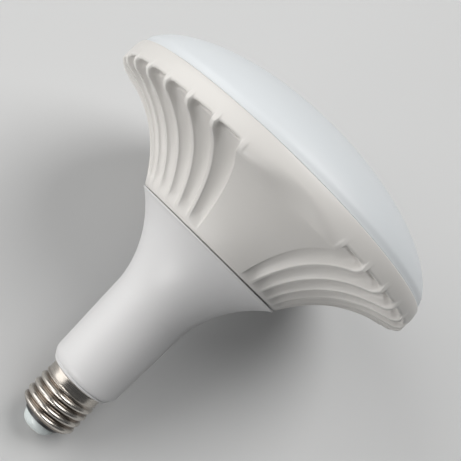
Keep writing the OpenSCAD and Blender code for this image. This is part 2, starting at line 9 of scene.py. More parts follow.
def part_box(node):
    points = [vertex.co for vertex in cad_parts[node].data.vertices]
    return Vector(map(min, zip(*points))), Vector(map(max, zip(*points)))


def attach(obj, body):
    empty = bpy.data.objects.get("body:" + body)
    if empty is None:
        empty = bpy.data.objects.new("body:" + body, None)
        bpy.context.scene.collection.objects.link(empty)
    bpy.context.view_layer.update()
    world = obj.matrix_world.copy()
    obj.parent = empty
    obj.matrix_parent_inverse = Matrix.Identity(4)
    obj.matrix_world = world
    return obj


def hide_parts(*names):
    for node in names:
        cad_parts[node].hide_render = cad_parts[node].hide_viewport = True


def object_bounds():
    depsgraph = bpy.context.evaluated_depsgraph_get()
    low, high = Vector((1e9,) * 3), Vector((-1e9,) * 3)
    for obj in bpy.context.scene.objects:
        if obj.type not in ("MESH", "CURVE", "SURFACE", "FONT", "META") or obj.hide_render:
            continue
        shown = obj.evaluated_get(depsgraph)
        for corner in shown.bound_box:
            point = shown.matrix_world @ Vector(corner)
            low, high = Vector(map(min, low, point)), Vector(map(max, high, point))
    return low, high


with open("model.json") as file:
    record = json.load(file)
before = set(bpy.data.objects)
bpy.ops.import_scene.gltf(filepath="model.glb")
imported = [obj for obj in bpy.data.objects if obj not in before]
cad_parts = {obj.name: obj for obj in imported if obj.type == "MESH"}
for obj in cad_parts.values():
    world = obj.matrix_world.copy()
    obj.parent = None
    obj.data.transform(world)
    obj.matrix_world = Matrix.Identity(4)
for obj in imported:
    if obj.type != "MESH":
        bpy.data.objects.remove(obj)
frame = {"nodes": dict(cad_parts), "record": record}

bl_info = {
    "name": "Flared lamp looks",
    "version": (1, 0, 0),
    "blender": (4, 5, 0),
    "location": "3D View > Sidebar > Flared lamp",
    "description": "Smooth skins, finishes and studio for a flared LED lamp built on its CAD frame",
    "category": "Object",
}

MM = 0.001
CAD_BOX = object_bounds()

# The lamp hangs cap up. Levels are heights above the seam towards the dome, so they run down
# in the frame, and every outline is a list of (radius, level).
HOUSING_LOW, HOUSING_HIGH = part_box("housing")
DOME_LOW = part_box("diffuser")[0]
SHELL_LOW, SHELL_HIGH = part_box("screw_shell")
TIP_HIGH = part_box("insulator_tip")[1]
CONTACT_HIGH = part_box("centre_contact")[1]
SEAM_Z = HOUSING_HIGH.z
RIM_R = CAD_BOX[1].x
JOINT = SEAM_Z - HOUSING_LOW.z
APEX = SEAM_Z - DOME_LOW.z
TIP_END = SEAM_Z - CONTACT_HIGH.z


class LampSizes(bpy.types.PropertyGroup):
    """Sizes of the lamp's outside"""

    seam_radius: bpy.props.FloatProperty(
        name="Seam radius", description="Radius of the neck's lip at the seam",
        default=37.7 * MM, unit="LENGTH",
    )
    bell_start: bpy.props.FloatProperty(
        name="Bell start radius", description="Radius of the bell's lower edge at the seam",
        default=37.35 * MM, unit="LENGTH",
    )
    flare_end: bpy.props.FloatVectorProperty(
        name="Flare end", description="Radius and level where the bell's flare meets its lip",
        default=(76.4 * MM, 28.3 * MM), size=2, unit="LENGTH",
    )
    ceiling: bpy.props.FloatProperty(
        name="Ceiling level", description="Level of the faces that close the pockets at the rim",
        default=31.9 * MM, unit="LENGTH",
    )
    belly: bpy.props.FloatProperty(
        name="Belly level", description="Level of the lamp's largest circle",
        default=35.5 * MM, unit="LENGTH",
    )
    pocket_start: bpy.props.FloatProperty(
        name="Pocket start", description="Part of the flare that lies before the pockets",
        default=0.045, subtype="FACTOR", min=0, max=0.3,
    )
    slot_depth: bpy.props.FloatProperty(
        name="Slot depth",
        description="Depth of the dark slot between a pocket's floor and the band",
        default=1.8 * MM, unit="LENGTH",
    )
    slot_width: bpy.props.FloatProperty(
        name="Slot width", description="Width of the dark slot at its bottom",
        default=1.7 * MM, unit="LENGTH",
    )
    pocket_depth_low: bpy.props.FloatProperty(
        name="Pocket depth at the seam", description="Depth of a pocket near the seam",
        default=1.7 * MM, unit="LENGTH",
    )
    pocket_depth_high: bpy.props.FloatProperty(
        name="Pocket depth at the rim", description="Depth of a pocket near the rim",
        default=3.7 * MM, unit="LENGTH",
    )
    hollow_power: bpy.props.FloatProperty(
        name="Hollow power", description="2 gives pockets a round floor, more a flatter one",
        default=2.2, min=1,
    )
    hollow_skew: bpy.props.FloatProperty(
        name="Hollow skew",
        description="How far the deepest line of a pocket beside a panel lies off its middle, "
        "towards that panel",
        default=0.2, subtype="FACTOR", min=0, max=0.4,
    )
    rib_width: bpy.props.FloatProperty(
        name="Rib width", description="Width of a rib's rounded crest and both its sides",
        default=2.6 * MM, unit="LENGTH",
    )
    knuckle_rise: bpy.props.FloatProperty(
        name="Knuckle rise", description="How far a rib stands proud where it climbs over the rim",
        default=1.0 * MM, unit="LENGTH",
    )
    knuckle_length: bpy.props.FloatProperty(
        name="Knuckle length", description="Height of the knuckle in which a rib ends at the rim",
        default=7.4 * MM, unit="LENGTH",
    )
    panel_round: bpy.props.FloatVectorProperty(
        name="Panel rounding",
        description="Levels between which a plain panel rounds into the band",
        default=(25.2 * MM, 35.6 * MM), size=2, unit="LENGTH",
    )
    seam_gap: bpy.props.FloatProperty(
        name="Seam gap", description="Height of the dark gap between neck and bell",
        default=0.3 * MM, unit="LENGTH",
    )
    panel_angle: bpy.props.FloatProperty(
        name="Panel angle", description="Angle of a plain panel between two groups of pockets",
        default=math.radians(33.6), subtype="ANGLE",
    )
    panels: bpy.props.IntProperty(
        name="Panels", description="Number of plain panels", default=3, min=1,
    )
    group_pockets: bpy.props.IntProperty(
        name="Pockets in a group", description="Number of pockets between two panels",
        default=9, min=1,
    )
    thread_pitch: bpy.props.FloatProperty(
        name="Thread pitch", description="Distance between two crests of the rolled thread",
        default=3.629 * MM, unit="LENGTH",
    )
    thread_depth: bpy.props.FloatProperty(
        name="Thread depth", description="Height of the rolled thread's crests over its roots",
        default=1.3 * MM, unit="LENGTH",
    )
    thread_turn: bpy.props.FloatProperty(
        name="Thread turn", description="How far the thread is turned about the lamp's axis",
        default=math.radians(82), subtype="ANGLE",
    )


class LampColours(bpy.types.PropertyGroup):
    """Colours of the lamp's outside and of the floor"""

    bell: bpy.props.FloatVectorProperty(
        name="Bell", description="Warm white of the moulded bell",
        default=(0.75, 0.732, 0.708), subtype="COLOR", size=3, min=0, max=1,
    )
    neck: bpy.props.FloatVectorProperty(
        name="Neck", description="Cool white of the moulded neck",
        default=(0.745, 0.743, 0.75), subtype="COLOR", size=3, min=0, max=1,
    )
    dome: bpy.props.FloatVectorProperty(
        name="Dome", description="Opal white of the dome",
        default=(0.765, 0.8, 0.83), subtype="COLOR", size=3, min=0, max=1,
    )
    nickel: bpy.props.FloatVectorProperty(
        name="Nickel", description="Plating of the screw shell",
        default=(0.6, 0.565, 0.52), subtype="COLOR", size=3, min=0, max=1,
    )
    # Painted shade: the thread's roots are coloured darker, to stand in for the shade and dark
    # reflections in the gaps between the threads
    painted_root_shade: bpy.props.FloatVectorProperty(
        name="Painted_root_shade", description="Darker plating in the roots of the thread",
        default=(0.2, 0.165, 0.135), subtype="COLOR", size=3, min=0, max=1,
    )
    tip: bpy.props.FloatVectorProperty(
        name="Tip", description="White of the cap's insulating tip",
        default=(0.72, 0.78, 0.78), subtype="COLOR", size=3, min=0, max=1,
    )
    floor: bpy.props.FloatVectorProperty(
        name="Floor", description="Pale grey of the floor",
        default=(0.7, 0.705, 0.71), subtype="COLOR", size=3, min=0, max=1,
    )


class StudioSettings(bpy.types.PropertyGroup):
    """The photograph's camera and the soft lights"""

    azimuth: bpy.props.FloatProperty(
        name="Azimuth", description="Direction of the camera round the lamp, from the front",
        default=math.radians(5.8), subtype="ANGLE",
    )
    distance: bpy.props.FloatProperty(
        name="Distance", description="Distance of the camera from the lamp's axis",
        default=319.4 * MM, unit="LENGTH",
    )
    sideways: bpy.props.FloatProperty(
        name="Sideways", description="How far the camera stands off the lamp's axis",
        default=1.3 * MM, unit="LENGTH",
    )
    level: bpy.props.FloatProperty(
        name="Level", description="Level of the camera above the seam",
        default=-0.9 * MM, unit="LENGTH",
    )
    tilt: bpy.props.FloatProperty(
        name="Tilt", description="How far the camera looks down",
        default=math.radians(2.27), subtype="ANGLE",
    )
    roll: bpy.props.FloatProperty(
        name="Roll", description="How far the camera is rolled, so that the lamp lies slanted",
        default=math.radians(224.56), subtype="ANGLE",
    )
    lens: bpy.props.FloatProperty(
        name="Lens", description="Focal length in millimetres on a 36 mm sensor",
        default=59.5, subtype="DISTANCE_CAMERA",
    )


def sizes():
    return bpy.context.scene.lamp_sizes


def colours():
    return bpy.context.scene.lamp_colours


# Outlines

def point(radius, level):
    return Vector((radius, level))


def profile(places, level=0, radius=0):
    """Points given as (radius, level) in millimetres, counted from a level and a radius."""
    return [point(radius + place[0] * MM, level + place[1] * MM) for place in places]


def bow(start, end, angles, pulls, count):
    """A curve that leaves start and reaches end at two angles from the axis, in count steps."""
    chord = (end - start).length
    near = start + chord * pulls[0] * point(math.sin(angles[0]), math.cos(angles[0]))
    far = end - chord * pulls[1] * point(math.sin(angles[1]), math.cos(angles[1]))
    curve = []
    for i in range(count + 1):
        t = i / count
        curve.append(
            (1 - t) ** 3 * start
            + 3 * (1 - t) ** 2 * t * near
            + 3 * (1 - t) * t * t * far
            + t ** 3 * end
        )
    return curve


def rounded(start, corner, end, count):
    """A rounded corner in count steps."""
    curve = []
    for i in range(count + 1):
        t = i / count
        curve.append((1 - t) ** 2 * start + 2 * (1 - t) * t * corner + t ** 2 * end)
    return curve


def straight(start, end, count):
    """The points of a straight line after its start, in count steps."""
    return [start.lerp(end, i / count) for i in range(1, count + 1)]


def outward(outline, i):
    """Unit normal of a rising outline at its point i, away from the axis."""
    step = outline[min(i + 1, len(outline) - 1)] - outline[max(i - 1, 0)]
    return point(step.y, -step.x).normalized()


def moved(outline, distances):
    """A rising outline moved outwards by a distance for each point."""
    return [p + distances[i] * outward(outline, i) for i, p in enumerate(outline)]


def inset(outline, distance):
    return moved(outline, [-distance] * len(outline))


def smooth(t):
    t = min(1, max(0, t))
    return t * t * (3 - 2 * t)


def hump(t):
    """0 at both ends of 0 to 1, with one round rise between them."""
    return math.sin(math.pi * t) ** 2 if 0 < t < 1 else 0


# Meshes

MERGE_DISTANCE = 1e-7


def spun(outline, steps, closed):
    """A bmesh made by spinning an outline about the lamp's axis. Each vertex keeps its row."""
    mesh = bmesh.new()
    row = mesh.verts.layers.int.new("row")
    verts = []
    for i, p in enumerate(outline):
        vert = mesh.verts.new((p.x, 0, SEAM_Z - p.y))
        vert[row] = i
        verts.append(vert)
    edges = [mesh.edges.new(pair) for pair in zip(verts, verts[1:])]
    if closed:
        edges.append(mesh.edges.new((verts[-1], verts[0])))
    bmesh.ops.spin(
        mesh, geom=verts + edges, cent=(0, 0, 0), axis=(0, 0, 1),
        angle=2 * math.pi, steps=steps, use_merge=True,
    )
    bmesh.ops.remove_doubles(mesh, verts=mesh.verts, dist=MERGE_DISTANCE)
    bmesh.ops.recalc_face_normals(mesh, faces=mesh.faces)
    return mesh


def finished(mesh, name, slot, material, *replaced):
    """Turns a bmesh into a smooth piece that rides on the lamp and stands for CAD nodes."""
    data = bpy.data.meshes.new(name)
    mesh.to_mesh(data)
    mesh.free()
    data.polygons.foreach_set("use_smooth", [True] * len(data.polygons))
    data.materials.append(material)
    piece = bpy.data.objects.new(name, data)
    bpy.context.scene.collection.objects.link(piece)
    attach(piece, "root")
    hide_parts(*replaced)
    return piece


# Materials

# Noises, as (cells a metre, detail): the plastics' cloudy tone, uneven gloss and sunken walls, and
# the metals' stains and drawing marks
CLOUDS = (38, 3)
GLOSS = (160, 4)
SINK = (55, 2)
STAINS = (260, 5)
MARKS = (5200, 3)
GRAIN_DETAIL = 3
SINK_DEPTH = 0.12 * MM
SINK_STRENGTH = 0.35
GRAIN_STRENGTH = 0.5
MARK_STRENGTH = 0.4
NOISE_SPREAD = (0.3, 0.7)
PLASTIC_IOR = 1.5
STAIN_CHANGE = 0.05

# Radii between which the painted shade in the thread's roots gives way to the bright plating
ROOTS = (11.9 * MM, 12.9 * MM)


def shader_tree(name):
    material = bpy.data.materials.new(name)
    material.use_nodes = True
    nodes = material.node_tree.nodes
    links = material.node_tree.links
    return material, nodes, links, nodes["Principled BSDF"]


def noise(nodes, links, scale, detail, stretch=(1, 1, 1)):
    """Noise on object coordinates. Scale is in cells a metre."""
    place = nodes.new("ShaderNodeTexCoord")
    mapping = nodes.new("ShaderNodeMapping")
    mapping.inputs["Scale"].default_value = stretch
    texture = nodes.new("ShaderNodeTexNoise")
    texture.inputs["Scale"].default_value = scale
    texture.inputs["Detail"].default_value = detail
    links.new(place.outputs["Object"], mapping.inputs["Vector"])
    links.new(mapping.outputs["Vector"], texture.inputs["Vector"])
    return texture.outputs["Fac"]


def ranged(nodes, links, value, low, high):
    """Noise mapped from its usual spread to a range."""
    spread = nodes.new("ShaderNodeMapRange")
    spread.inputs["From Min"].default_value = NOISE_SPREAD[0]
    spread.inputs["From Max"].default_value = NOISE_SPREAD[1]
    spread.inputs["To Min"].default_value = low
    spread.inputs["To Max"].default_value = high
    links.new(value, spread.inputs["Value"])
    return spread.outputs["Result"]


def tinted(nodes, links, value, colour, change):
    """Two close tones of a colour, mixed by noise."""
    mix = nodes.new("ShaderNodeMix")
    mix.data_type = "RGBA"
    mix.inputs["A"].default_value = (*[c * (1 - change) for c in colour], 1)
    mix.inputs["B"].default_value = (*[min(1, c * (1 + change)) for c in colour], 1)
    links.new(value, mix.inputs["Factor"])
    return mix.outputs["Result"]


def bumped(nodes, links, value, depth, strength, normal=None):
    bump = nodes.new("ShaderNodeBump")
    bump.inputs["Distance"].default_value = depth
    bump.inputs["Strength"].default_value = strength
    links.new(value, bump.inputs["Height"])
    if normal:
        links.new(normal, bump.inputs["Normal"])
    return bump.outputs["Normal"]


def moulded_plastic(
    name, colour, roughness=(0.36, 0.46), change=0.012, grain=0.02 * MM, cells=1900
):
    """Moulded plastic: cloudy tone, uneven gloss, slightly sunken walls and a fine mould grain, of
    a depth and a number of cells a metre."""
    material, nodes, links, shader = shader_tree(name)
    clouds = noise(nodes, links, *CLOUDS)
    links.new(tinted(nodes, links, clouds, colour, change), shader.inputs["Base Color"])
    gloss = noise(nodes, links, *GLOSS)
    links.new(ranged(nodes, links, gloss, *roughness), shader.inputs["Roughness"])
    sink = bumped(nodes, links, noise(nodes, links, *SINK), SINK_DEPTH, SINK_STRENGTH)
    fine = noise(nodes, links, cells, GRAIN_DETAIL)
    skin = bumped(nodes, links, fine, grain, GRAIN_STRENGTH, sink)
    links.new(skin, shader.inputs["Normal"])
    shader.inputs["IOR"].default_value = PLASTIC_IOR
    return material


def by_radius(nodes, links, low, high):
    """0 at a distance low from the lamp's axis, rising to 1 at a distance high."""
    place = nodes.new("ShaderNodeTexCoord")
    flat = nodes.new("ShaderNodeVectorMath")
    flat.operation = "MULTIPLY"
    flat.inputs[1].default_value = (1, 1, 0)
    length = nodes.new("ShaderNodeVectorMath")
    length.operation = "LENGTH"
    spread = nodes.new("ShaderNodeMapRange")
    spread.interpolation_type = "SMOOTHSTEP"
    spread.inputs["From Min"].default_value = low
    spread.inputs["From Max"].default_value = high
    links.new(place.outputs["Object"], flat.inputs[0])
    links.new(flat.outputs["Vector"], length.inputs[0])
    links.new(length.outputs["Value"], spread.inputs["Value"])
    return spread.outputs["Result"]


def drawn_metal(
    name, colour, roughness=(0.14, 0.3), stretch=(0.05, 0.05, 1), grain=0.012 * MM, painted_root_shade=None
):
    """Metal with fine marks along the way it was drawn or rolled. With a painted root shade, it is
    that colour in the thread's roots: painted shade that stands in for the dark gaps and dark
    reflections between the threads."""
    material, nodes, links, shader = shader_tree(name)
    shader.inputs["Metallic"].default_value = 1
    stains = noise(nodes, links, *STAINS)
    tone = tinted(nodes, links, stains, colour, STAIN_CHANGE)
    # Painted shade: the roots take the darker colour by distance from the axis, in place of shade
    # and dark reflections between the threads
    if painted_root_shade:
        mix = nodes.new("ShaderNodeMix")
        mix.data_type = "RGBA"
        mix.inputs["A"].default_value = (*painted_root_shade, 1)
        links.new(by_radius(nodes, links, *ROOTS), mix.inputs["Factor"])
        links.new(tone, mix.inputs["B"])
        tone = mix.outputs["Result"]
    links.new(tone, shader.inputs["Base Color"])
    marks = noise(nodes, links, *MARKS, stretch)
    links.new(ranged(nodes, links, marks, *roughness), shader.inputs["Roughness"])
    links.new(bumped(nodes, links, marks, grain, MARK_STRENGTH), shader.inputs["Normal"])
    return material


# Finishes of the CAD nodes that stay as they are, by material slot: kind, colour, low and high
# roughness
FINISHES = {
    "black_plastic": ("plastic", (0.035, 0.035, 0.037), (0.35, 0.5)),
    "steel": ("metal", (0.6, 0.6, 0.58), (0.25, 0.4)),
    "aluminium": ("metal", (0.78, 0.79, 0.8), (0.32, 0.45)),
    "board_white": ("plastic", (0.78, 0.79, 0.78), (0.3, 0.42)),
    "phosphor": ("plastic", (0.8, 0.58, 0.1), (0.3, 0.45)),
    "connector_white": ("plastic", (0.75, 0.73, 0.64), (0.4, 0.5)),
    "black_rubber": ("plastic", (0.03, 0.03, 0.03), (0.6, 0.75)),
    "board_green": ("plastic", (0.04, 0.18, 0.07), (0.25, 0.4)),
    "can_sleeve": ("plastic", (0.03, 0.035, 0.05), (0.22, 0.35)),
    "film_yellow": ("plastic", (0.62, 0.45, 0.08), (0.35, 0.5)),
    "ferrite": ("plastic", (0.06, 0.06, 0.065), (0.55, 0.7)),
    "coil_tape": ("plastic", (0.72, 0.5, 0.04), (0.25, 0.4)),
    "resistor_green": ("plastic", (0.12, 0.24, 0.15), (0.35, 0.5)),
    "varistor_blue": ("plastic", (0.05, 0.12, 0.38), (0.25, 0.4)),
    "wire_brown": ("plastic", (0.2, 0.06, 0.03), (0.4, 0.5)),
    "wire_blue": ("plastic", (0.04, 0.1, 0.35), (0.4, 0.5)),
    "wire_red": ("plastic", (0.42, 0.02, 0.02), (0.4, 0.5)),
    "wire_black": ("plastic", (0.02, 0.02, 0.02), (0.4, 0.5)),
}


def finish(slot):
    kind, colour, roughness = FINISHES[slot]
    if kind == "metal":
        return drawn_metal(slot, colour, roughness)
    return moulded_plastic(slot, colour, roughness, change=STAIN_CHANGE)


# Bell

FLARE_ANGLES = (math.radians(31), math.radians(78.5))
FLARE_PULLS = (0.37, 0.4)
FLARE_STEPS = 34
BAND_STEPS = 6
EDGE_STEPS = 4
EDGE = 0.6 * MM
WALL = 2 * MM

# Steps of the way in a pocket from its floor to the slot's bottom, over that, to the band's edge
# and round it. A rib's lip takes as many.
SLOT_STEPS = (4, 2, 2, 6)
RIM_STEPS = sum(SLOT_STEPS)

# The bell's edge at the seam, as (radius, level) from the flare's start, in millimetres
SEAM_FACE = ((-2, 0), (-0.2, 0))
SEAM_ROUND = ((0.1, 0.2),)

# A rib's lip: height above the ceiling at which it meets the band, and the corner it rounds, from
# the flare's end in millimetres
LIP_HEIGHT = 1.2 * MM
LIP_CORNER = ((2.2, 0.9),)

# A pocket's end: how much of the floor's last step is kept, how far the slot starts outside it
# and bends above it, and how far the band's edge lies inside the band
LAST_STEP = 0.2
SLOT_START = 0.4 * MM
SLOT_BEND = 0.1 * MM
BAND_IN = 1.1 * MM

# The bell's inside: thickness round the dome's bore and the seam's bore, depth of the dome's bore
# down to its ledge, level of the floor, radius of the hole for the wires, and how far the curved
# wall ends before the ledge and the floor and tucks in at the floor
RIM_WALL = 3 * MM
SEAM_WALL = 2.05 * MM
LEDGE_DEPTH = 6 * MM
FLOOR_LEVEL = 5.8 * MM
WIRE_HOLE = 14 * MM
WALL_END = 0.5 * MM
WALL_TUCK = 0.3 * MM

# Parts of the flare and of the way over a plain panel in which pocket and panel reach their depth
POCKET_RUN = 0.13
PANEL_RUN = 0.48

# The fall beside a rib: length of flare over which it changes to its form at the rim, the crest's
# flat part and what that grows by at the rim, the foot there, all as parts of half a rib's width,
# and the part of a pocket's width in which its hollow sets in
RIM_CHANGE = 3 * MM
CREST_FLAT = 0.36
CREST_GROWTH = 0.32
RIB_FOOT = 1.6
HOLLOW_RUN = 0.06

# Knuckles: how far before the flare's end they start, what is left of one beside a plain panel,
# their full part and the part in which they fall, as parts of half a rib's width
KNUCKLE_LEAD = 1.4 * MM
BORDER_KNUCKLE = 0.32
KNUCKLE_TOP = 0.4
KNUCKLE_FALL = 0.9

# How far a knuckle stays inside the CAD box, and the smallest part of the bell's start radius by
# which a distance is turned into an angle
BOX_CLEARANCE = 0.01 * MM
TURN_RADIUS = 0.9

# Distances from a rib's middle, as parts of half its width, and shares of the way between ribs
RIB_SIDE = (0, 0.2, 0.36, 0.46, 0.57, 0.68, 0.8, 0.93, 1.1, 1.3)
POCKET_PLACES = (0.12, 0.26, 0.42, 0.58, 0.74, 0.88)
PANEL_PLACES = [i / 15 for i in range(1, 15)]


def dome_radius(level, inside=0):
    """Radius of the ellipse that the band and the dome share, or of one inside it."""
    rise = APEX - sizes().belly - inside
    return (RIM_R - inside) * math.sqrt(max(0, 1 - ((level - sizes().belly) / rise) ** 2))


def flare():
    s = sizes()
    return bow(point(s.bell_start, 0), point(*s.flare_end), FLARE_ANGLES, FLARE_PULLS, FLARE_STEPS)


def pocket_depth(t):
    """Depth of a pocket at a part t of the flare."""
    s = sizes()
    full = s.pocket_depth_low + (s.pocket_depth_high - s.pocket_depth_low) * t
    return full * math.sqrt(smooth((t - s.pocket_start) / POCKET_RUN))


def bell_outlines():
    """The bell's outlines over a rib, in a pocket and over a plain panel. Their points match, row
    by row."""
    s = sizes()
    crest = flare()
    floor = moved(crest, [-pocket_depth(i / FLARE_STEPS) for i in range(FLARE_STEPS + 1)])
    floor[-1] = floor[-2].lerp(floor[-1], LAST_STEP)
    lip_level = s.ceiling + LIP_HEIGHT
    lip_top = point(dome_radius(lip_level), lip_level)
    slot_in = point(floor[-1].x + SLOT_START, s.ceiling + s.slot_depth)
    slot_out = slot_in + point(s.slot_width, 0)
    band_edge = point(lip_top.x - BAND_IN, s.ceiling)
    to_slot, over_slot, to_band, round_band = SLOT_STEPS
    corner = profile(LIP_CORNER, crest[-1].y, crest[-1].x)
    rim_crest = rounded(crest[-1], *corner, lip_top, RIM_STEPS)
    rim_floor = (
        rounded(floor[-1], point(slot_in.x, floor[-1].y + SLOT_BEND), slot_in, to_slot)
        + straight(slot_in, slot_out, over_slot)
        + straight(slot_out, band_edge, to_band)
        + rounded(band_edge, point(lip_top.x, s.ceiling), lip_top, round_band)[1:]
    )
    edge = profile(SEAM_FACE, s.seam_gap, crest[0].x)
    band_height = JOINT - EDGE - lip_top.y
    levels = [lip_top.y + band_height * i / BAND_STEPS for i in range(1, BAND_STEPS + 1)]
    band = [point(dome_radius(level), level) for level in levels]
    joint_r = dome_radius(JOINT)
    band += rounded(band[-1], point(joint_r, JOINT), point(joint_r - EDGE, JOINT), EDGE_STEPS)[1:]
    crest[0] = floor[0] = profile(SEAM_ROUND, s.seam_gap, crest[0].x)[0]
    over_rib = edge + crest + rim_crest[1:] + band
    return over_rib, edge + floor + rim_floor[1:] + band, panel_outline(over_rib)


def panel_outline(crest):
    """The bell's outline over a plain panel, which rounds softly from the flare into the band."""
    low, high = sizes().panel_round
    inner = [i for i, p in enumerate(crest) if low < p.y < high]
    first, last = inner[0], inner[-1]
    slope = (crest[first] - crest[first - 1]).normalized()
    corner = crest[first] + slope * (crest[last].x - crest[first].x) / slope.x
    soft = rounded(crest[first], corner, crest[last], last - first)
    return crest[:first] + soft + crest[last + 1:]


def bell_inside():
    """The bell's bore, ledge, wall, floor and seam bore, from the joint back to the seam."""
    bore = RIM_R - RIM_WALL
    ledge = JOINT - LEDGE_DEPTH
    seam_bore = sizes().bell_start - SEAM_WALL
    depths = [pocket_depth(i / FLARE_STEPS) for i in range(FLARE_STEPS + 1)]
    wall = moved(flare(), [-depth - WALL for depth in depths])
    wall = [p for p in wall[::4] if FLOOR_LEVEL + WALL_END < p.y < ledge - WALL_END]
    return [
        point(bore, JOINT),
        point(bore, ledge),
        point(wall[-1].x + WALL_END, ledge),
        *reversed(wall),
        point(wall[0].x - WALL_TUCK, FLOOR_LEVEL),
        point(WIRE_HOLE, FLOOR_LEVEL),
        point(WIRE_HOLE, FLOOR_LEVEL - WALL),
        point(seam_bore, FLOOR_LEVEL - WALL),
        point(seam_bore, 0),
    ]


def pocket_angle():
    """Angle from one rib of a group to the next."""
    s = sizes()
    return (2 * math.pi / s.panels - s.panel_angle) / s.group_pockets


def bell_columns():
    """Every column round the bell, counted from a panel's first rib: the angle of the rib before
    it, the angle from there to the next rib, the share of the way between them, the distance
    added to that, the share at which the pocket is deepest or None on a plain panel, and whether
    the nearest rib borders a panel."""
    s = sizes()
    half = s.rib_width / 2
    columns = []
    for panel in range(s.panels):
        start = panel * 2 * math.pi / s.panels - s.panel_angle / 2
        for k in range(s.group_pockets + 1):
            gap = pocket_angle() if k else s.panel_angle
            skew = (2 * k - 1 - s.group_pockets) / max(1, s.group_pockets - 1)
            deepest = 0.5 + s.hollow_skew * skew if k else None
            ways = [(0, side * half) for side in RIB_SIDE]
            ways += [
                (place, (1 - 2 * place) * RIB_SIDE[-1] * half)
                for place in (POCKET_PLACES if k else PANEL_PLACES)
            ]
            ways += [(1, -side * half) for side in reversed(RIB_SIDE[1:])]
            for share, extra in ways:
                border = k + round(share) in (0, 1, s.group_pockets + 1)
                columns.append((start, gap, share, extra, deepest, border))
            start += gap
    return columns


def rib_fall(along, width, level, deepest):
    """How far the surface has fallen from a rib's crest to what lies beside it, at a distance
    along from the rib before it. A pocket drops from the rib on the panel's side and climbs slowly
    to the next, so that it leaves a mould that opens at the middle of its group. It gets a flat
    floor and steep sides at the rim, where the crests grow wider. A plain panel falls slowly."""
    s = sizes()
    half = s.rib_width / 2
    near = min(along, width - along)
    if deepest is None:
        edge = RIB_SIDE[-1] * half
        return smooth((near - edge) / (width - 2 * edge) / PANEL_RUN)
    at_rim = smooth((level - s.flare_end[1] + RIM_CHANGE) / RIM_CHANGE)
    flat = half * (CREST_FLAT + CREST_GROWTH * at_rim)
    steep = smooth((near - flat) / (RIB_FOOT * half - flat))
    part = min(1, max(0, (along - flat) / (width - 2 * flat)))
    reach = deepest if part < deepest else 1 - deepest
    bowl = 1 - (abs(part - deepest) / reach) ** s.hollow_power
    hollow = bowl * smooth(min(part, 1 - part) / HOLLOW_RUN)
    return hollow + (steep - hollow) * at_rim


def knuckle(near, level, border):
    """How proud a rib stands at the rim, at a distance near from its middle. A rib that borders a
    plain panel stands less proud."""
    s = sizes()
    rise = hump((level - s.flare_end[1] + KNUCKLE_LEAD) / s.knuckle_length)
    fallen = smooth((2 * near / s.rib_width - KNUCKLE_TOP) / KNUCKLE_FALL)
    return s.knuckle_rise * (BORDER_KNUCKLE if border else 1) * rise * (1 - fallen)


def carve_bell(mesh, crest, floor, plain, columns, outer_rows):
    """Moves the vertices of the spun bell to the ribs, pockets and panels. The first outer_rows
    rows are its outside."""
    s = sizes()
    row = mesh.verts.layers.int["row"]
    step = 2 * math.pi / len(columns)
    front = -math.pi / 2
    for vert in mesh.verts:
        index = round(math.atan2(vert.co.y, vert.co.x) / step) % len(columns)
        start, gap, share, extra, deepest, border = columns[index]
        i = vert[row]
        level = crest[i].y
        width = gap * crest[i].x
        along = share * width + extra
        beside = plain[i] if deepest is None else floor[i]
        p = crest[i].lerp(beside, rib_fall(along, width, level, deepest))
        radius = p.x
        if i < outer_rows:
            proud = knuckle(min(along, width - along), level, border)
            radius = min(radius + proud, RIM_R - BOX_CLEARANCE)
        angle = front + start + share * gap + extra / max(radius, s.bell_start * TURN_RADIUS)
        vert.co = (radius * math.cos(angle), radius * math.sin(angle), SEAM_Z - p.y)


class LAMP_OT_bell(bpy.types.Operator):
    """Spins the bell and carves its ribs, pockets and plain panels"""

    bl_idname = "lamp.bell"
    bl_label = "Finned bell"

    def execute(self, context):
        inside = bell_inside()
        crest, floor, plain = [outline + inside for outline in bell_outlines()]
        columns = bell_columns()
        mesh = spun(crest, len(columns), True)
        carve_bell(mesh, crest, floor, plain, columns, len(crest) - len(inside))
        bmesh.ops.recalc_face_normals(mesh, faces=mesh.faces)
        white = moulded_plastic("bell_white", colours().bell)
        finished(mesh, "bell_skin", "bell_white", white, "housing")
        return {"FINISHED"}


# Neck

NECK_ANGLES = (math.radians(5.4), math.radians(52.6))
NECK_PULLS = (0.33, 0.34)
NECK_STEPS = 24
NECK_SPIN = 160
NECK_END = -75.8 * MM

# Where the flare starts, as (radius, level), in millimetres
NECK_FLARE_START = ((17.8, -34),)

# The neck's foot at the cap, as (radius, level) from the neck's end, in millimetres: the face's
# bore, its rounded edge, the fine groove and the shoulder
FOOT_BORE = ((12.4, 0),)
FOOT_EDGE = ((13.6, 0), (14.3, 0), (14.6, 0.6))
FOOT_GROOVE = ((14.82, 1), (14.62, 1.12), (14.62, 1.38), (15.02, 1.5))
FOOT_SHOULDER = ((15.2, 1.75), (16.3, 3), (16.6, 4.8))

# The lip at the seam, as (radius, level) from its largest circle, in millimetres: where the flare
# ends, the rounded edge and the face
LIP_START = ((-1.2, -1.1),)
LIP_EDGE = ((-0.1, -0.6), (0, -0.15))
LIP_FACE = ((-0.1, -0.03), (-0.3, 0))

# The two spigots, as (radius, level), in millimetres, the first from the bell's start at the
# seam, the second from the neck's end
BELL_SPIGOT = ((-2.3, 0), (-2.3, 3.5), (-4.2, 3.5))
CAP_SPIGOT = ((10, -13.5), (11.5, -13.5), (11.5, 0))

# The wall's inside: how far inside the bell's start it begins, its radius at the foot, and the
# radius of the cap spigot's bore
WALL_IN = 4.3 * MM
FOOT_INSIDE = 14.6 * MM
CAP_BORE = 10 * MM


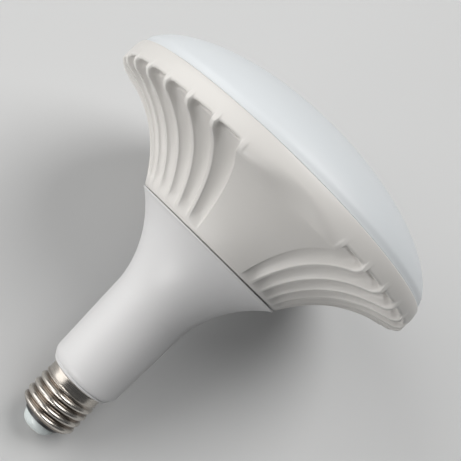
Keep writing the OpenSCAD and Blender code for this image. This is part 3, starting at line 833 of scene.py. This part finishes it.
class LAMP_OT_neck(bpy.types.Operator):
    """Spins the neck, with its rounded foot, fine groove, flare and lip"""

    bl_idname = "lamp.neck"
    bl_label = "Flared neck"

    def execute(self, context):
        s = sizes()
        flare_curve = bow(
            *profile(NECK_FLARE_START), *profile(LIP_START, 0, s.seam_radius),
            NECK_ANGLES, NECK_PULLS, NECK_STEPS,
        )
        foot = profile(FOOT_BORE, NECK_END)
        foot += rounded(*profile(FOOT_EDGE, NECK_END), 4)
        foot += profile(FOOT_GROOVE, NECK_END)
        foot += rounded(*profile(FOOT_SHOULDER, NECK_END), 8)
        cone = straight(foot[-1], flare_curve[0], 8)[:-1]
        lip = rounded(flare_curve[-1], *profile(LIP_EDGE, 0, s.seam_radius), 5)[1:]
        lip += profile(LIP_FACE, 0, s.seam_radius)
        wall = [p for p in inset(flare_curve, WALL)[::4] if p.x < s.bell_start - WALL_IN]
        inside = [
            *profile(BELL_SPIGOT, 0, s.bell_start),
            *reversed(wall),
            point(FOOT_INSIDE, NECK_END + WALL),
            point(CAP_BORE, NECK_END + WALL),
            *profile(CAP_SPIGOT, NECK_END),
        ]
        mesh = spun(foot + cone + flare_curve + lip + inside, NECK_SPIN, True)
        white = moulded_plastic("neck_white", colours().neck)
        finished(mesh, "neck_skin", "neck_white", white, "neck")
        return {"FINISHED"}


# Dome

DOME_STEPS = 60
DOME_SPIN = 192
DOME_WALL = 1.8 * MM

# More than 1 crowds the outline's points at the dome's edge
DOME_CROWDING = 1.35

# How far the dome is drawn in at its edge, the height over which that fades, and the gap to the
# bell
EDGE_STEP = 0.68 * MM
EDGE_RUN = 3.6 * MM
JOINT_GAP = 0.03 * MM

# The ring that snaps into the bell: how far it lies inside the rim, its thickness and its depth
RING_IN = 3.2 * MM
RING_WALL = 1.7 * MM
RING_DEPTH = 4.4 * MM

# The dome's edge, as (radius, level) from the skin's first radius and the edge's level, in
# millimetres
EDGE_FACE = ((-0.2, 0), (-0.04, 0.08))

# Heights over the edge of the outer skin's start, the ring's inner end and the inner skin's start,
# and how far inside the ring the inner skin stays
SKIN_START = 0.1 * MM
RING_TOP = 0.6 * MM
INNER_START = 1.2 * MM
INNER_CLEAR = 1.8 * MM


def dome_outline(inside, start, step):
    """The dome's outline from a level to the axis, drawn in a little by a step at its edge."""
    belly = sizes().belly
    rise = APEX - belly - inside
    first = math.asin((start - belly) / rise)
    outline = []
    for i in range(DOME_STEPS + 1):
        turn = first + (math.pi / 2 - first) * (i / DOME_STEPS) ** DOME_CROWDING
        level = belly + rise * math.sin(turn)
        radius = (RIM_R - inside) * math.cos(turn)
        radius -= step * (1 - smooth((level - JOINT) / EDGE_RUN))
        outline.append(point(radius, level))
    outline[-1].x = 0
    return outline


class LAMP_OT_dome(bpy.types.Operator):
    """Spins the opal dome, with the thin shadow gap at its edge"""

    bl_idname = "lamp.dome"
    bl_label = "Opal dome"

    def execute(self, context):
        edge = JOINT + JOINT_GAP
        ring = RIM_R - RING_IN
        ring_bore = ring - RING_WALL
        outer = dome_outline(0, edge + SKIN_START, EDGE_STEP)
        inner = dome_outline(DOME_WALL, edge + INNER_START, 0)[::4]
        outline = [
            *reversed([p for p in inner if p.x < ring - INNER_CLEAR]),
            point(ring_bore, edge + RING_TOP),
            point(ring_bore, JOINT - RING_DEPTH),
            point(ring, JOINT - RING_DEPTH),
            point(ring, edge),
            *profile(EDGE_FACE, edge, outer[0].x),
            *outer,
        ]
        mesh = spun(outline, DOME_SPIN, False)
        opal = moulded_plastic(
            "opal", colours().dome, roughness=(0.4, 0.47), change=0.008, grain=0.004 * MM, cells=500
        )
        finished(mesh, "dome_skin", "opal", opal, "diffuser")
        return {"FINISHED"}


# Screw cap

SHELL_SPIN = 160
SHELL_WALL = 0.3 * MM
THREAD_ROWS = 70

# Radius of the drawn wall, between the crests and the roots that are rolled into it
DRAWN_RADIUS = 12.75 * MM
THREAD_RISE = SHELL_HIGH.x - DRAWN_RADIUS

# The plain skirt at the neck: its length and how far it lies inside the crests
SKIRT_LENGTH = 4.6 * MM
SKIRT_IN = 0.6 * MM

# The shell's mouth at the tip, as (radius, level) from its end, in millimetres
MOUTH_EDGE = ((9.4, 0), (9.9, 0))
MOUTH_ROUND = ((10.3, 0.05), (12.4, 0.5), (12.75, 2.4))

# The neck-in between thread and skirt, as (radius, level) from the skirt's start, in millimetres,
# and the skirt's edge there, from the skirt's radius
WALL_STOP = ((12.75, -0.9),)
NECK_IN = ((12.7, -0.7), (12.1, -0.35))
SKIRT_EDGE = ((-0.1, 0), (-0.02, 0.5))

# How far from the shell's end and from the skirt the thread begins, and the heights over which it
# fades there
THREAD_MARGINS = (0.9 * MM, 0.2 * MM)
THREAD_FADES = (1.4 * MM, 1.2 * MM)


def shell_outline():
    """The drawn shell from its mouth to the neck, with even rows where the thread is rolled."""
    top = SEAM_Z - SHELL_LOW.z
    end = SEAM_Z - SHELL_HIGH.z
    skirt = SHELL_HIGH.x - SKIRT_IN
    skirt_start = top - SKIRT_LENGTH
    skirt_edge = profile(SKIRT_EDGE, skirt_start, skirt)
    outline = profile(MOUTH_EDGE, end) + rounded(*profile(MOUTH_ROUND, end), 9)
    outline += straight(outline[-1], *profile(WALL_STOP, skirt_start), THREAD_ROWS)
    outline += rounded(*profile(NECK_IN, skirt_start), skirt_edge[0], 5)
    outline += straight(*skirt_edge, 2)
    outline += straight(outline[-1], point(skirt, top), 4)
    return outline


def roll_thread(mesh, end, start):
    """Moves the shell's wall in and out along a helix that fades at both ends of the thread."""
    s = sizes()
    for vert in mesh.verts:
        level = SEAM_Z - vert.co.z
        fade = smooth((level - end) / THREAD_FADES[0]) * smooth((start - level) / THREAD_FADES[1])
        if not fade:
            continue
        angle = math.atan2(vert.co.y, vert.co.x)
        wave = math.cos(2 * math.pi * level / s.thread_pitch + angle + s.thread_turn)
        swing = (THREAD_RISE if wave > 0 else s.thread_depth - THREAD_RISE) * wave
        radius = math.hypot(vert.co.x, vert.co.y)
        grown = (radius + swing * fade) / radius
        vert.co.x *= grown
        vert.co.y *= grown


class LAMP_OT_screw_shell(bpy.types.Operator):
    """Spins the nickel-plated shell and rolls its thread"""

    bl_idname = "lamp.screw_shell"
    bl_label = "Screw shell"

    def execute(self, context):
        outline = shell_outline()
        end = SEAM_Z - SHELL_HIGH.z + THREAD_MARGINS[0]
        start = SEAM_Z - SHELL_LOW.z - SKIRT_LENGTH - THREAD_MARGINS[1]
        mesh = spun(outline + list(reversed(inset(outline, SHELL_WALL))), SHELL_SPIN, True)
        roll_thread(mesh, end, start)
        bmesh.ops.recalc_face_normals(mesh, faces=mesh.faces)
        # The nickel gets painted shade in the thread's roots
        nickel = drawn_metal(
            "nickel", colours().nickel, roughness=(0.2, 0.34), painted_root_shade=colours().painted_root_shade
        )
        finished(mesh, "rolled_shell", "nickel", nickel, "screw_shell")
        return {"FINISHED"}


# The tip, as (radius, level) in millimetres: its face from its end, its shoulder from its widest
# circle at its end, its side and rim from that circle at its rim, and its collar in the shell
TIP_SPIN = 96
TIP_HEIGHT = 5 * MM
TIP_FACE = ((1.3, 0), (3.4, 0))
TIP_SHOULDER = ((-0.9, 0.2),)
TIP_SIDE = ((0, -0.5),)
TIP_RIM = ((0, -0.45), (0, 0), (-0.5, 0))
TIP_COLLAR = ((4.8, 0), (4.8, 3), (1.3, 3))

# The rivet, as (radius, level) from its outer face, in millimetres: its middle, its edge from the
# head's radius, and its stem. Its face is flat up to the first part of the head's radius and
# rounds about the second.
RIVET_SPIN = 64
RIVET_MIDDLE = ((0, 0.02),)
RIVET_EDGE = ((0, 0.6), (0, 0.7))
RIVET_STEM = ((1.2, 0.7), (1.2, 10.4), (0, 10.4))
RIVET_ROUND = (0.3, 0.9)
RIVET_COLOUR = (0.72, 0.68, 0.6)


def tip_outline():
    """The tip from its hole's end over its domed outside and its collar back to the hole."""
    low = SEAM_Z - TIP_HIGH.z
    rim = low + TIP_HEIGHT
    radius = TIP_HIGH.x
    hole, face = profile(TIP_FACE, low)
    shoulder = profile(TIP_SHOULDER, low, radius)
    side = profile(TIP_SIDE, rim, radius)
    return [
        hole,
        *rounded(face, *shoulder, *side, 14),
        *rounded(*profile(TIP_RIM, rim, radius), 4),
        *profile(TIP_COLLAR, rim),
    ]


def rivet_outline():
    """The rivet from the middle of its head to the end of its stem."""
    head = CONTACT_HIGH.x
    flat, bend = [point(head * part, TIP_END) for part in RIVET_ROUND]
    edge, under = profile(RIVET_EDGE, TIP_END, head)
    return [
        *profile(RIVET_MIDDLE, TIP_END),
        *rounded(flat, bend, edge, 6),
        under,
        *profile(RIVET_STEM, TIP_END),
    ]


class LAMP_OT_contact_end(bpy.types.Operator):
    """Spins the white tip and the rivet of the centre contact"""

    bl_idname = "lamp.contact_end"
    bl_label = "Tip and contact"

    def execute(self, context):
        white = moulded_plastic(
            "white_tip", colours().tip, roughness=(0.25, 0.38), change=0.01, grain=0.008 * MM
        )
        tip = spun(tip_outline(), TIP_SPIN, True)
        finished(tip, "tip_skin", "white_tip", white, "insulator_tip")
        metal = drawn_metal(
            "contact_metal", RIVET_COLOUR, roughness=(0.2, 0.35), stretch=(1, 1, 1)
        )
        rivet = spun(rivet_outline(), RIVET_SPIN, False)
        finished(rivet, "contact_rivet", "nickel", metal, "centre_contact")
        return {"FINISHED"}


class LAMP_OT_cad_finishes(bpy.types.Operator):
    """Gives each CAD node that stays as it is the finish of its material slot"""

    bl_idname = "lamp.cad_finishes"
    bl_label = "Finishes of the inner parts"

    def execute(self, context):
        materials = {}
        for part in frame["record"]["subparts"]:
            node, slot = part["node"], part["material_slot"]
            if slot not in FINISHES:
                continue
            if slot not in materials:
                materials[slot] = finish(slot)
            data = frame["nodes"][node].data
            data.materials.clear()
            data.materials.append(materials[slot])
        return {"FINISHED"}


# Stage

FLOOR_HALF_WIDTH = 4
FLOOR_GAP = 0.1 * MM
FLOOR_ROUGHNESS = 0.9
FLOOR_SPECULAR = 0.1
FLOOR_CLOUDS = (3, 2)
FLOOR_CHANGE = 0.01

# What the floor's tone is multiplied by in the light that it throws back
BOUNCE = 0.28

# Soft round lights: name, place from the lamp's middle in metres, towards the camera, to its right
# and towards the cap, diameter in metres and power in watts
LIGHTS = (
    ("key", (0.54, 0.97, -0.05), 1.4, 10.3),
    ("cap_fill", (0.31, 0.3, 0.93), 0.8, 12.5),
    ("dome_fill", (0.62, -0.2, -0.85), 0.8, 7.3),
)
LIGHT_COLOUR = (1, 0.99, 0.97)
WORLD_COLOUR = (0.94, 0.97, 1, 1)
WORLD_STRENGTH = 0.1
SENSOR_WIDTH = 36
CLIPPING = (0.01, 50)
UP = Vector((0, 0, 1))


def camera_side():
    """Unit vector from the lamp's axis to the camera, level with the horizon."""
    a = bpy.context.scene.lamp_studio.azimuth
    return Vector((math.sin(a), -math.cos(a), 0))


def rest_plane():
    """A point and the normal of the plane that the lamp lies on, at its knuckles and its thread.
    Both points are found in turns, each as the outermost one seen from the other."""
    back = -camera_side()
    edge = [point(min(RIM_R, p.x + knuckle(0, p.y, False)), p.y) for p in bell_outlines()[0]]
    thread = [p + point(THREAD_RISE, 0) for p in shell_outline()]
    cap = thread[len(thread) // 2]
    for _ in range(3):
        rim = max(edge, key=lambda p: (p.x - cap.x) / (p.y - cap.y))
        cap = min(thread, key=lambda p: (rim.x - p.x) / (rim.y - p.y))
    lean = (rim - cap).normalized()
    normal = -back * lean.y - UP * lean.x
    return back * rim.x + UP * (SEAM_Z - rim.y) - normal * FLOOR_GAP, normal


def floor_material():
    """Matt floor that is seen from its front only, so that the lamp's back can be looked at. The
    light that it throws back on the lamp is that of a darker floor."""
    material, nodes, links, shader = shader_tree("floor")
    clouds = noise(nodes, links, *FLOOR_CLOUDS)
    ray = nodes.new("ShaderNodeLightPath")
    seen = nodes.new("ShaderNodeVectorMath")
    seen.operation = "LENGTH"
    kinds = nodes.new("ShaderNodeCombineXYZ")
    for socket, kind in (
        ("X", "Is Camera Ray"), ("Y", "Is Glossy Ray"), ("Z", "Is Transmission Ray")
    ):
        links.new(ray.outputs[kind], kinds.inputs[socket])
    links.new(kinds.outputs["Vector"], seen.inputs[0])
    tone = nodes.new("ShaderNodeMix")
    tone.data_type = "RGBA"
    tone.inputs["A"].default_value = (*[c * BOUNCE for c in colours().floor], 1)
    links.new(seen.outputs["Value"], tone.inputs["Factor"])
    links.new(tinted(nodes, links, clouds, colours().floor, FLOOR_CHANGE), tone.inputs["B"])
    links.new(tone.outputs["Result"], shader.inputs["Base Color"])
    shader.inputs["Roughness"].default_value = FLOOR_ROUGHNESS
    shader.inputs["Specular IOR Level"].default_value = FLOOR_SPECULAR
    clear = nodes.new("ShaderNodeBsdfTransparent")
    side = nodes.new("ShaderNodeNewGeometry")
    mix = nodes.new("ShaderNodeMixShader")
    links.new(side.outputs["Backfacing"], mix.inputs["Fac"])
    links.new(shader.outputs["BSDF"], mix.inputs[1])
    links.new(clear.outputs["BSDF"], mix.inputs[2])
    links.new(mix.outputs["Shader"], nodes["Material Output"].inputs["Surface"])
    return material


def make_floor():
    place, normal = rest_plane()
    mesh = bmesh.new()
    bmesh.ops.create_grid(mesh, x_segments=1, y_segments=1, size=FLOOR_HALF_WIDTH)
    turn = normal.to_track_quat("Z", "Y").to_matrix().to_4x4()
    bmesh.ops.transform(mesh, matrix=Matrix.Translation(place) @ turn, verts=mesh.verts)
    data = bpy.data.meshes.new("floor")
    mesh.to_mesh(data)
    mesh.free()
    data.materials.append(floor_material())
    floor = bpy.data.objects.new("floor", data)
    bpy.context.scene.collection.objects.link(floor)


def area_light(name, place, target, size, power):
    """A round light that faces a target."""
    data = bpy.data.lights.new(name, "AREA")
    data.shape = "DISK"
    data.size = size
    data.energy = power
    data.color = LIGHT_COLOUR
    light = bpy.data.objects.new(name, data)
    light.location = place
    light.rotation_mode = "QUATERNION"
    light.rotation_quaternion = (target - place).to_track_quat("-Z", "Y")
    bpy.context.scene.collection.objects.link(light)


def make_camera():
    studio = bpy.context.scene.lamp_studio
    side = camera_side()
    right = UP.cross(side)
    back = side * math.cos(studio.tilt) + UP * math.sin(studio.tilt)
    up = back.cross(right)
    turned_right = right * math.cos(studio.roll) + up * math.sin(studio.roll)
    turned_up = back.cross(turned_right)
    data = bpy.data.cameras.new("photo_camera")
    data.lens = studio.lens
    data.sensor_width = SENSOR_WIDTH
    data.clip_start, data.clip_end = CLIPPING
    camera = bpy.data.objects.new("photo_camera", data)
    place = side * studio.distance - right * studio.sideways + UP * (SEAM_Z - studio.level)
    camera.matrix_world = Matrix.Translation(place) @ Matrix(
        (turned_right, turned_up, back)
    ).transposed().to_4x4()
    bpy.context.scene.collection.objects.link(camera)
    bpy.context.scene.camera = camera


def make_world():
    world = bpy.data.worlds.new("studio")
    bpy.context.scene.world = world
    world.use_nodes = True
    background = world.node_tree.nodes["Background"]
    background.inputs["Color"].default_value = WORLD_COLOUR
    background.inputs["Strength"].default_value = WORLD_STRENGTH


class LAMP_OT_stage(bpy.types.Operator):
    """Lays the floor behind the lamp and sets the lights and the photograph's camera"""

    bl_idname = "lamp.stage"
    bl_label = "Floor, lights and camera"

    def execute(self, context):
        make_camera()
        make_floor()
        make_world()
        side = camera_side()
        right = UP.cross(side)
        centre = UP * ((CAD_BOX[0].z + CAD_BOX[1].z) / 2)
        for name, (near, across, high), size, power in LIGHTS:
            place = centre + (side * near + right * across + UP * high)
            area_light(name, place, centre, size, power)
        context.scene.view_settings.view_transform = "Standard"
        return {"FINISHED"}


class LAMP_PT_sidebar(bpy.types.Panel):
    """The lamp's sizes, colours and steps"""

    bl_label = "Flared lamp"
    bl_idname = "LAMP_PT_sidebar"
    bl_space_type = "VIEW_3D"
    bl_region_type = "UI"
    bl_category = "Flared lamp"

    def draw(self, context):
        layout = self.layout
        for operator in OPERATORS:
            layout.operator(operator.bl_idname)
        for settings in (
            context.scene.lamp_sizes, context.scene.lamp_colours, context.scene.lamp_studio
        ):
            box = layout.box()
            for name in settings.__annotations__:
                box.prop(settings, name)


OPERATORS = (
    LAMP_OT_bell,
    LAMP_OT_neck,
    LAMP_OT_dome,
    LAMP_OT_screw_shell,
    LAMP_OT_contact_end,
    LAMP_OT_cad_finishes,
    LAMP_OT_stage,
)
GROUPS = (LampSizes, LampColours, StudioSettings)


def register():
    for group in GROUPS + OPERATORS + (LAMP_PT_sidebar,):
        bpy.utils.register_class(group)
    bpy.types.Scene.lamp_sizes = bpy.props.PointerProperty(type=LampSizes)
    bpy.types.Scene.lamp_colours = bpy.props.PointerProperty(type=LampColours)
    bpy.types.Scene.lamp_studio = bpy.props.PointerProperty(type=StudioSettings)


def unregister():
    del bpy.types.Scene.lamp_studio
    del bpy.types.Scene.lamp_colours
    del bpy.types.Scene.lamp_sizes
    for group in reversed(GROUPS + OPERATORS + (LAMP_PT_sidebar,)):
        bpy.utils.unregister_class(group)


def main():
    register()
    bpy.ops.lamp.bell()
    bpy.ops.lamp.neck()
    bpy.ops.lamp.dome()
    bpy.ops.lamp.screw_shell()
    bpy.ops.lamp.contact_end()
    bpy.ops.lamp.cad_finishes()
    bpy.ops.lamp.stage()


if __name__ == "__main__":
    main()
